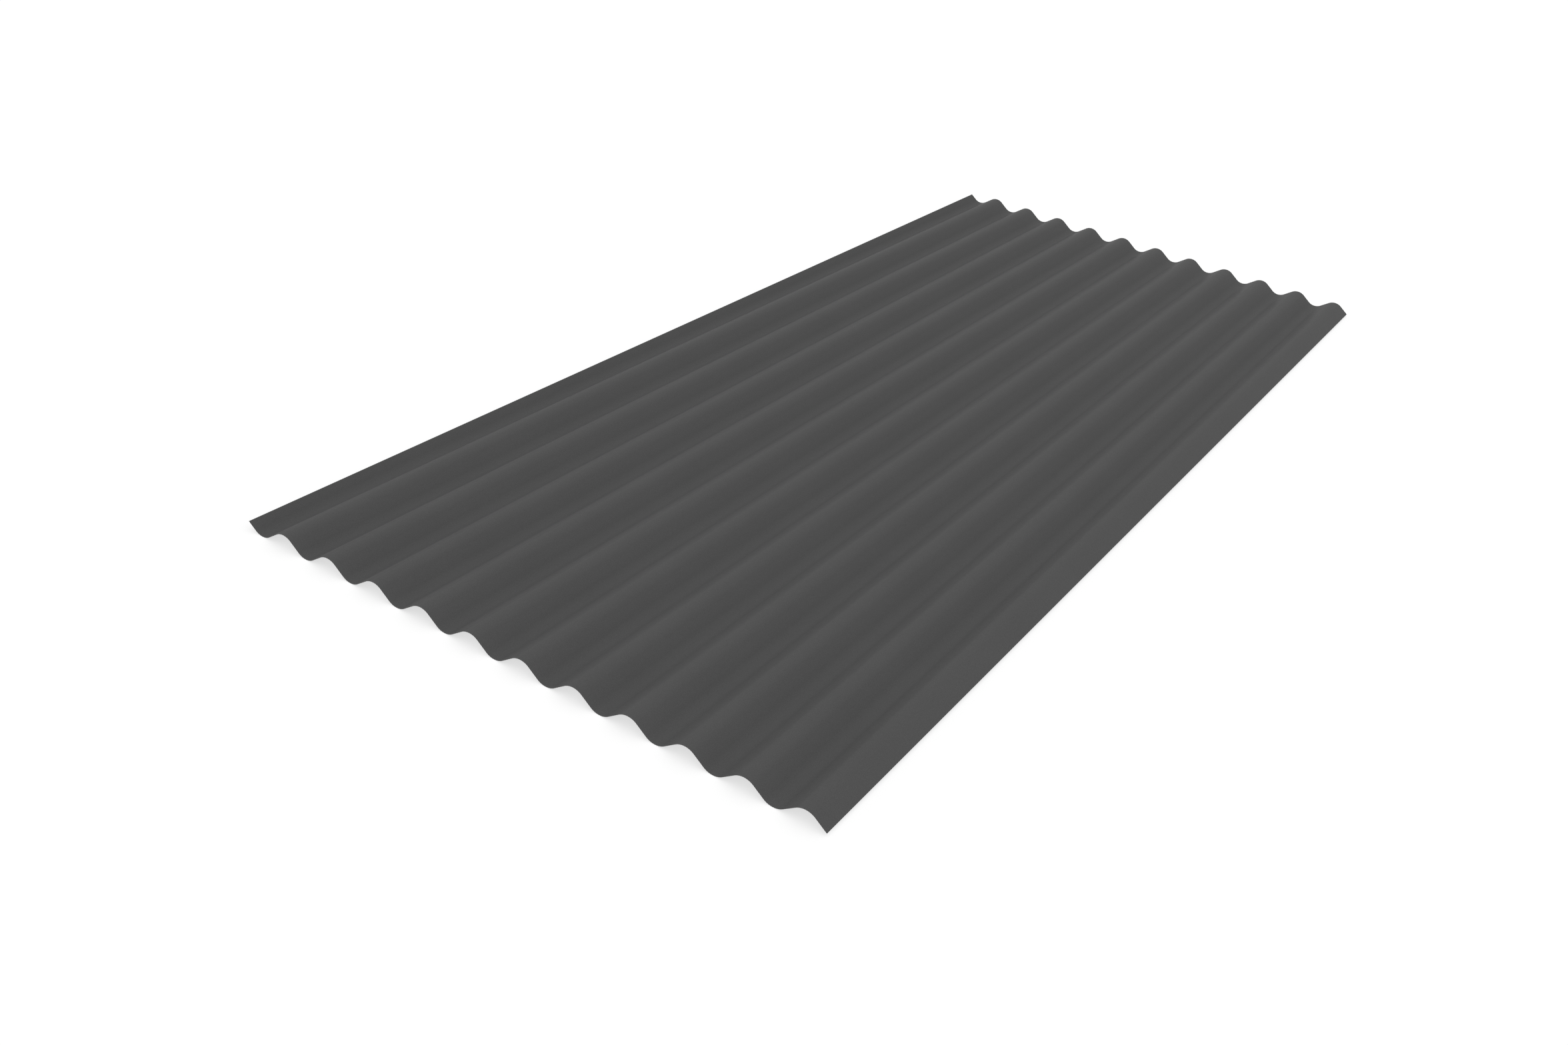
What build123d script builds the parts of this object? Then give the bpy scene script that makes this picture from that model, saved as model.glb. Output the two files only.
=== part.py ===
"""Corrugated metal sheet, one roll-formed piece of thin painted steel that lies flat on its valleys.

The waves run along Y. Each is a round valley and a round crest joined by straight flanks. One side edge
(at -X) stands up on a flank and the other (at +X) hangs down, so that the next sheet can lap over it.
The origin is under the middle of the sheet, on the surface that its valleys rest on.
"""

import os
from math import radians, tan

from build123d import *

# Driving dimensions, in millimetres and degrees
sheet_length = 2000.0  # along the waves
sheet_thickness = 0.5  # steel with its coatings
wave_pitch = 76.0  # from one crest to the next
wave_depth = 18.0  # from valley to crest, on one face of the sheet
flank_angle = 36.2  # slope of the straight flanks
wave_count = 11  # valleys, and as many crests
high_edge_reach = 23.7  # from the first valley's centre line out to the edge that stands up
low_edge_reach = 27.7  # from the last crest's centre line out to the edge that hangs down

# The bends' radius, at the middle of the thickness, follows from the pitch, the depth and the slope
half_pitch = wave_pitch / 2
flank_run = wave_depth / tan(radians(flank_angle))  # across, if the flanks alone made the depth
bend_radius = (half_pitch - flank_run) / (2 * tan(radians(flank_angle / 2)))
valley_radius = bend_radius + sheet_thickness / 2  # on the underside, the outside of the bend
crest_radius = bend_radius - sheet_thickness / 2  # on the underside, the inside of the bend

# Places across the sheet, whose underside is centred on X
sheet_width = high_edge_reach + (wave_count - 1) * wave_pitch + half_pitch + low_edge_reach
high_edge_x = -sheet_width / 2
low_edge_x = sheet_width / 2
first_valley_x = high_edge_x + high_edge_reach

# Where a bend starts and how far it turns, in degrees about its centre
valley_start = -90 - flank_angle
crest_start = 90 + flank_angle
bend_turn = 2 * flank_angle

os.makedirs("parts", exist_ok=True)

with BuildPart() as corrugated_sheet:
    with BuildSketch(Plane.XZ) as section:
        with BuildLine() as outline:
            # The underside of the waves, with a spare wave beyond each side edge
            crest = None
            for wave in range(-1, wave_count + 1):
                valley_x = first_valley_x + wave * wave_pitch
                valley_centre = (valley_x, valley_radius)
                crest_centre = (valley_x + half_pitch, wave_depth - crest_radius)
                valley = CenterArc(valley_centre, valley_radius, valley_start, bend_turn)
                if crest:
                    Line(crest @ 1, valley @ 0)
                crest = CenterArc(crest_centre, crest_radius, crest_start, -bend_turn)
                Line(valley @ 1, crest @ 0)
            # Slit to width, then given its thickness upwards
            split(bisect_by=Plane.YZ.offset(high_edge_x), keep=Keep.TOP)
            split(bisect_by=Plane.YZ.offset(low_edge_x), keep=Keep.BOTTOM)
            offset(amount=sheet_thickness, side=Side.LEFT)
        make_face()
    extrude(amount=sheet_length / 2, both=True)

corrugated_sheet.part.label = "corrugated_sheet"
export_step(corrugated_sheet.part, "parts/corrugated_sheet.step")
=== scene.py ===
"""The looks of the corrugated metal sheet: a fine mesh of its waves, paint, cut edges and a white studio.

Lengths are in metres, in the sheet's own frame: the waves run along Y and the valleys rest on Z = 0.
"""

from math import cos, radians, sin, tan

import bpy
import numpy as np
from mathutils import Matrix, Vector


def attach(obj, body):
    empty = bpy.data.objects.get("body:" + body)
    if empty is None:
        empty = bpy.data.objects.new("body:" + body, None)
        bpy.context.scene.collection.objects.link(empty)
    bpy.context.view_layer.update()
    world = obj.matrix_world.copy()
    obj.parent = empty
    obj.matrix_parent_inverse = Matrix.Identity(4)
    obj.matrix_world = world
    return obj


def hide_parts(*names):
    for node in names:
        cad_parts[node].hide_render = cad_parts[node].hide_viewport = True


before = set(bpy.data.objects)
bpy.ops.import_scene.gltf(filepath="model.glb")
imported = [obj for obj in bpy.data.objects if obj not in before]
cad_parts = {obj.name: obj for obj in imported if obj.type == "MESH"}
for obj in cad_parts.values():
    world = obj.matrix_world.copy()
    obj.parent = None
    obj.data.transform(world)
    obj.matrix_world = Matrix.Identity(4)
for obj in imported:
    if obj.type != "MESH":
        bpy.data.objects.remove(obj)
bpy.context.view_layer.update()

# The sheet's sizes, as its solid has them
sheet_length = 2.0
sheet_thickness = 0.0005
wave_pitch = 0.076
wave_depth = 0.018
flank_angle = radians(36.2)
wave_count = 11
high_edge_reach = 0.0237
low_edge_reach = 0.0277

half_pitch = wave_pitch / 2
bend_radius = (half_pitch - wave_depth / tan(flank_angle)) / (2 * tan(flank_angle / 2))
valley_radius = bend_radius + sheet_thickness / 2
crest_radius = bend_radius - sheet_thickness / 2
sheet_width = high_edge_reach + (wave_count - 1) * wave_pitch + half_pitch + low_edge_reach
first_valley_x = high_edge_reach - sheet_width / 2
lengthwise = np.array([0.0, 1.0, 0.0])  # the way the waves run

# How finely the mesh follows the sheet
bend_steps = 24
edge_round = 0.0001  # where the shears or slitters roll the edge over
edge_row_shares = np.array([0.0, 0.3, 1.0, 3.0])  # rows beside an edge, in edge rounds from it

# The sheet unrolled onto its map, in shares of the map's side, with rows for faces, long edges and ends
map_column_share = 0.5
map_margin_share = 0.006
map_run_share = map_column_share - 2 * map_margin_share
map_row_bottom_shares = (0.006, 0.974, 0.987)
map_row_height_shares = (0.96, 0.007, 0.007)

# The paint, and how its sheen and clear coat take the light
paint_grey = 0.076
paint_roughness = (0.76, 0.84)
paint_specular = 0.1
sheen_weight = 0.051
sheen_roughness = 0.2
coat_weight = 0.052
coat_roughness = 0.3

# The paint's marks: how many to a metre, and the shares of the grey that each varies between
mottle_per_metre = 9.0
mottle_shade_shares = (0.985, 1.015)
streaks_per_metre = 230.0  # across the waves
streak_along_share = 0.012  # of that number, along the waves
streak_shade_shares = (0.985, 1.015)
grains_per_metre = 1400.0
grain_shade_shares = (0.82, 1.18)
grain_height = 0.00012
dimples_per_metre = 240.0
dimple_height = 0.0003
relief_strength = 0.5
noise_low = 0.3  # the middle range of a noise, whose values run from 0 to 1
noise_high = 0.7

# The bare steel of the cut edges
cut_marks_per_metre = 1500.0
cut_grey_low = 0.12
cut_grey_high = 0.22
cut_roughness = (0.4, 0.6)

# The camera, in pixels of the photo and degrees
photo_width = 2352
focal_length = 2294.7
camera_place = Vector((0.92254, -2.07791, 1.03728))
camera_azimuth = radians(28.977)  # turned left from looking along +Y
camera_elevation = radians(29.964)  # looking down
camera_roll = radians(8.030)
sensor_width = 36.0  # millimetres, as the lens is

# The studio
floor_reach = 40.0
floor_drop = 0.00005  # below the valleys, so that the two never share a plane
floor_grey = 0.9  # for the light that it throws back
seen_floor_grey = 0.36  # as the camera sees it, beside its own light
seen_floor_glow = 0.66
surround_strength = 1.0


def section():
    """The underside across the waves, from edge to edge.

    Gives each row's distance round the waves, its place (x, z) and the way up off the sheet there.
    """
    turns = np.linspace(-flank_angle, flank_angle, bend_steps + 1)
    lean, upright = np.sin(turns), np.cos(turns)
    rise = 1 - upright
    valley = np.stack([valley_radius * lean, valley_radius * rise, -lean, upright], 1)
    crest = np.stack([crest_radius * lean, -crest_radius * rise, lean, upright], 1)
    rows = []
    for wave in range(-1, wave_count + 1):
        valley_x = first_valley_x + wave * wave_pitch
        rows.append(valley + [valley_x, 0, 0, 0])
        rows.append(crest + [valley_x + half_pitch, wave_depth, 0, 0])
    rows = np.concatenate(rows)
    middle = rows[:, :2] + rows[:, 2:] * sheet_thickness / 2
    steps = np.linalg.norm(np.diff(middle, axis=0), axis=1)
    round_waves = np.concatenate([[0], np.cumsum(steps)])
    start, end = np.interp([-sheet_width / 2, sheet_width / 2], rows[:, 0], round_waves)
    places = edge_rows(start, end)
    inner = round_waves[(round_waves > places[0].max()) & (round_waves < places[1].min())]
    distance = np.concatenate([places[0], inner, places[1]])
    rows = np.stack([np.interp(distance, round_waves, column) for column in rows.T], 1)
    way_up = rows[:, 2:] / np.linalg.norm(rows[:, 2:], axis=1)[:, None]
    return distance - start, rows[:, :2], way_up


def edge_rows(start, end):
    """Places of the rows beside two opposite edges, in rising order."""
    reach = edge_round * edge_row_shares
    return start + reach, end - reach[::-1]


def edge_turn(distance, whole):
    """How far a row lies round the rolled edge: 0 on the face, 1 on the cut, signed towards its edge."""
    near_start = np.clip(1 - distance / edge_round, 0, 1)
    near_end = np.clip(1 - (whole - distance) / edge_round, 0, 1)
    return near_end - near_start


def sheet_mesh():
    """Both faces of the sheet as grids of rows round the waves and along them, joined by the cut edges."""
    round_waves, places, way_up = section()
    along = np.concatenate(edge_rows(0.0, sheet_length))
    points, normals = face_points(round_waves, along, places, way_up)
    faces = face_groups(len(round_waves), len(along))
    mesh = bpy.data.meshes.new("painted_sheet")
    mesh.from_pydata(points.tolist(), [], np.concatenate(faces).tolist())
    painted = len(faces[0]) + len(faces[1])
    material_of = np.ones(len(mesh.polygons), dtype=np.int32)
    material_of[:painted] = 0
    mesh.polygons.foreach_set("material_index", material_of)
    mesh.shade_smooth()
    mesh.normals_split_custom_set_from_vertices(normals.tolist())
    flat = mesh.uv_layers.new(name="OFBake")
    flat.uv.foreach_set("vector", unrolled(faces, round_waves, along).astype(np.float32).ravel())
    mesh.update()
    return mesh


def face_points(round_waves, along, places, way_up):
    """Points and normals of the top face, and then of the underside, rolled over at the edges."""
    side_turn = edge_turn(round_waves, round_waves[-1])[:, None] + np.zeros(len(along))
    end_turn = edge_turn(along, sheet_length) + np.zeros((len(round_waves), 1))
    turn = np.clip(np.hypot(side_turn, end_turn), 0, 1)
    lift = np.sqrt(1 - turn ** 2)[..., None]
    drop = edge_round * (1 - lift)

    level = np.zeros(len(round_waves))
    up = np.stack([way_up[:, 0], level, way_up[:, 1]], 1)[:, None]
    across = np.stack([way_up[:, 1], level, -way_up[:, 0]], 1)[:, None]
    base = np.stack([places[:, 0], level, places[:, 1]], 1)[:, None]
    base = base + lengthwise * (along - sheet_length / 2)[:, None]
    outward = across * side_turn[..., None] + lengthwise * end_turn[..., None]

    points = np.concatenate([
        (base + up * (sheet_thickness - drop)).reshape(-1, 3),
        (base + up * drop).reshape(-1, 3),
    ])
    normals = np.concatenate([
        (outward + up * lift).reshape(-1, 3),
        (outward - up * lift).reshape(-1, 3),
    ])
    return points, normals / np.linalg.norm(normals, axis=1)[:, None]


def face_groups(count, columns):
    """Faces of the top and the underside, the two long edges and the two ends, as point numbers."""
    top = np.arange(count * columns).reshape(count, columns)
    under = top + count * columns
    return [
        quads(top[:-1, :-1], top[1:, :-1], top[1:, 1:], top[:-1, 1:]),
        quads(under[:-1, :-1], under[:-1, 1:], under[1:, 1:], under[1:, :-1]),
        quads(top[0, :-1], top[0, 1:], under[0, 1:], under[0, :-1]),
        quads(under[-1, :-1], under[-1, 1:], top[-1, 1:], top[-1, :-1]),
        quads(under[:-1, 0], under[1:, 0], top[1:, 0], top[:-1, 0]),
        quads(top[:-1, -1], top[1:, -1], under[1:, -1], under[:-1, -1]),
    ]


def quads(*corners):
    """Four grids of point numbers as a list of faces."""
    return np.stack([corner.ravel() for corner in corners], 1)


def unrolled(faces, round_waves, along):
    """Places of the faces' corners on the map: the two faces side by side, the cut edges above them."""
    count, columns = len(round_waves), len(along)
    round_share = np.tile(np.repeat(round_waves / round_waves[-1], columns), 2)
    along_share = np.tile(along / sheet_length, 2 * count)
    up_share = np.repeat([1.0, 0.0], count * columns)
    ways = [(round_share, along_share)] * 2 + [(along_share, up_share)] * 2 + [(round_share, up_share)] * 2
    places = []
    for number, (group, (across, upward)) in enumerate(zip(faces, ways)):
        row, column = divmod(number, 2)
        corners = group.ravel()
        u = map_margin_share + column * map_column_share + map_run_share * across[corners]
        v = map_row_bottom_shares[row] + map_row_height_shares[row] * upward[corners]
        places.append(np.stack([u, v], 1))
    return np.concatenate(places)


class Nodes:
    """Builds a node tree: new() adds a node with its sockets set, and join() links two sockets."""

    def __init__(self, owner):
        owner.use_nodes = True
        self.tree = owner.node_tree
        self.tree.nodes.clear()

    def new(self, kind, **values):
        node = self.tree.nodes.new(kind)
        for name, value in values.items():
            node.inputs[name.replace("_", " ")].default_value = value
        return node

    def join(self, source, target):
        self.tree.links.new(source, target)

    def noise(self, coordinates, **values):
        node = self.new("ShaderNodeTexNoise", **values)
        self.join(coordinates, node.inputs["Vector"])
        return node.outputs["Fac"]

    def spread(self, value, low, high):
        """Takes a noise's middle range to low and high."""
        node = self.new(
            "ShaderNodeMapRange",
            From_Min=noise_low,
            From_Max=noise_high,
            To_Min=low,
            To_Max=high,
        )
        self.join(value, node.inputs["Value"])
        return node.outputs["Result"]

    def combine(self, operation, first, second):
        """Works out one value from two, by an operation such as MULTIPLY or MAXIMUM."""
        node = self.new("ShaderNodeMath")
        node.operation = operation
        self.join(first, node.inputs[0])
        self.join(second, node.inputs[1])
        return node.outputs[0]


def plain_grey(level):
    """A grey as a colour socket takes it."""
    return (level, level, level, 1.0)


def paint_material():
    """Matte dark grey coil paint: a fine grain, faint streaks from the rolls and slow changes of shade.

    A little sheen and a thin clear coat brighten it where it is seen nearly edge on.
    """
    material = bpy.data.materials.new("grey_paint")
    nodes = Nodes(material)
    place = nodes.new("ShaderNodeTexCoord").outputs["Object"]
    rolled = nodes.new("ShaderNodeMapping", Scale=(1.0, streak_along_share, 1.0))
    nodes.join(place, rolled.inputs["Vector"])
    mottle = nodes.noise(place, Scale=mottle_per_metre, Detail=3.0)
    streaks = nodes.noise(rolled.outputs["Vector"], Scale=streaks_per_metre, Detail=4.0)
    grain = nodes.noise(place, Scale=grains_per_metre, Detail=3.0, Roughness=0.6)
    dimples = nodes.noise(place, Scale=dimples_per_metre, Detail=2.0)

    shade = nodes.spread(mottle, *mottle_shade_shares)
    shade = nodes.combine("MULTIPLY", shade, nodes.spread(streaks, *streak_shade_shares))
    shade = nodes.combine("MULTIPLY", shade, nodes.spread(grain, *grain_shade_shares))
    grey = nodes.new("ShaderNodeMixRGB", Fac=1.0, Color1=plain_grey(paint_grey))
    grey.blend_type = "MULTIPLY"
    nodes.join(shade, grey.inputs["Color2"])

    coarse = nodes.new("ShaderNodeBump", Strength=relief_strength, Distance=dimple_height)
    nodes.join(dimples, coarse.inputs["Height"])
    fine = nodes.new("ShaderNodeBump", Strength=relief_strength, Distance=grain_height)
    nodes.join(grain, fine.inputs["Height"])
    nodes.join(coarse.outputs["Normal"], fine.inputs["Normal"])
    shader = nodes.new(
        "ShaderNodeBsdfPrincipled",
        Specular_IOR_Level=paint_specular,
        Sheen_Weight=sheen_weight,
        Sheen_Roughness=sheen_roughness,
        Coat_Weight=coat_weight,
        Coat_Roughness=coat_roughness,
    )
    nodes.join(grey.outputs["Color"], shader.inputs["Base Color"])
    nodes.join(nodes.spread(streaks, *paint_roughness), shader.inputs["Roughness"])
    nodes.join(fine.outputs["Normal"], shader.inputs["Normal"])
    output = nodes.new("ShaderNodeOutputMaterial")
    nodes.join(shader.outputs["BSDF"], output.inputs["Surface"])
    return material


def cut_steel_material():
    """The bare line of steel and zinc where the painted sheet was cut."""
    material = bpy.data.materials.new("cut_steel")
    nodes = Nodes(material)
    place = nodes.new("ShaderNodeTexCoord").outputs["Object"]
    marks = nodes.noise(place, Scale=cut_marks_per_metre, Detail=3.0)
    grey = nodes.new("ShaderNodeMixRGB", Color1=plain_grey(cut_grey_low), Color2=plain_grey(cut_grey_high))
    nodes.join(nodes.spread(marks, 0.0, 1.0), grey.inputs["Fac"])
    shader = nodes.new("ShaderNodeBsdfPrincipled", Metallic=1.0)
    nodes.join(grey.outputs["Color"], shader.inputs["Base Color"])
    nodes.join(nodes.spread(marks, *cut_roughness), shader.inputs["Roughness"])
    output = nodes.new("ShaderNodeOutputMaterial")
    nodes.join(shader.outputs["BSDF"], output.inputs["Surface"])
    return material


def add_sheet():
    """The one piece, which shows in place of the plain solid."""
    mesh = sheet_mesh()
    mesh.materials.append(paint_material())
    mesh.materials.append(cut_steel_material())
    sheet = bpy.data.objects.new("painted_sheet", mesh)
    bpy.context.scene.collection.objects.link(sheet)
    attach(sheet, "root")
    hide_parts("corrugated_sheet")


def floor_material():
    """White, with its own light for the camera, so that it shows white and still takes a shadow."""
    material = bpy.data.materials.new("white_floor")
    nodes = Nodes(material)
    rays = nodes.new("ShaderNodeLightPath").outputs
    seen = nodes.combine("MAXIMUM", rays["Is Camera Ray"], rays["Is Glossy Ray"])
    seen = nodes.combine("MAXIMUM", seen, rays["Is Transmission Ray"])
    plain = nodes.new("ShaderNodeBsdfDiffuse", Color=plain_grey(floor_grey))
    shaded = nodes.new("ShaderNodeBsdfDiffuse", Color=plain_grey(seen_floor_grey))
    glow = nodes.new("ShaderNodeEmission", Color=plain_grey(1.0), Strength=seen_floor_glow)
    bright = nodes.new("ShaderNodeAddShader")
    nodes.join(shaded.outputs["BSDF"], bright.inputs[0])
    nodes.join(glow.outputs["Emission"], bright.inputs[1])
    mix = nodes.new("ShaderNodeMixShader")
    nodes.join(seen, mix.inputs["Fac"])
    nodes.join(plain.outputs["BSDF"], mix.inputs[1])
    nodes.join(bright.outputs["Shader"], mix.inputs[2])
    output = nodes.new("ShaderNodeOutputMaterial")
    nodes.join(mix.outputs["Shader"], output.inputs["Surface"])
    return material


def add_studio():
    """A white floor under an even white surround."""
    sides = ((-1, -1), (1, -1), (1, 1), (-1, 1))
    corners = [(x * floor_reach, y * floor_reach, -floor_drop) for x, y in sides]
    mesh = bpy.data.meshes.new("floor")
    mesh.from_pydata(corners, [], [(0, 1, 2, 3)])
    mesh.materials.append(floor_material())
    floor = bpy.data.objects.new("floor", mesh)
    bpy.context.scene.collection.objects.link(floor)

    world = bpy.data.worlds.new("surround")
    bpy.context.scene.world = world
    nodes = Nodes(world)
    surround = nodes.new("ShaderNodeBackground", Color=plain_grey(1.0), Strength=surround_strength)
    output = nodes.new("ShaderNodeOutputWorld")
    nodes.join(surround.outputs["Background"], output.inputs["Surface"])


def add_camera():
    """Stands where the photo was taken from."""
    flat = cos(camera_elevation)
    forward = Vector((-sin(camera_azimuth) * flat, cos(camera_azimuth) * flat, -sin(camera_elevation)))
    level = Vector((cos(camera_azimuth), sin(camera_azimuth), 0.0))
    upright = level.cross(forward)
    right = level * cos(camera_roll) + upright * sin(camera_roll)
    up = upright * cos(camera_roll) - level * sin(camera_roll)
    lens = bpy.data.cameras.new("camera")
    lens.sensor_fit = "HORIZONTAL"
    lens.sensor_width = sensor_width
    lens.lens = focal_length / photo_width * sensor_width
    camera = bpy.data.objects.new("camera", lens)
    turned = Matrix((right, up, -forward)).transposed().to_4x4()
    camera.matrix_world = Matrix.Translation(camera_place) @ turned
    bpy.context.scene.collection.objects.link(camera)
    bpy.context.scene.camera = camera


add_sheet()
add_studio()
add_camera()
bpy.context.scene.view_settings.view_transform = "Standard"
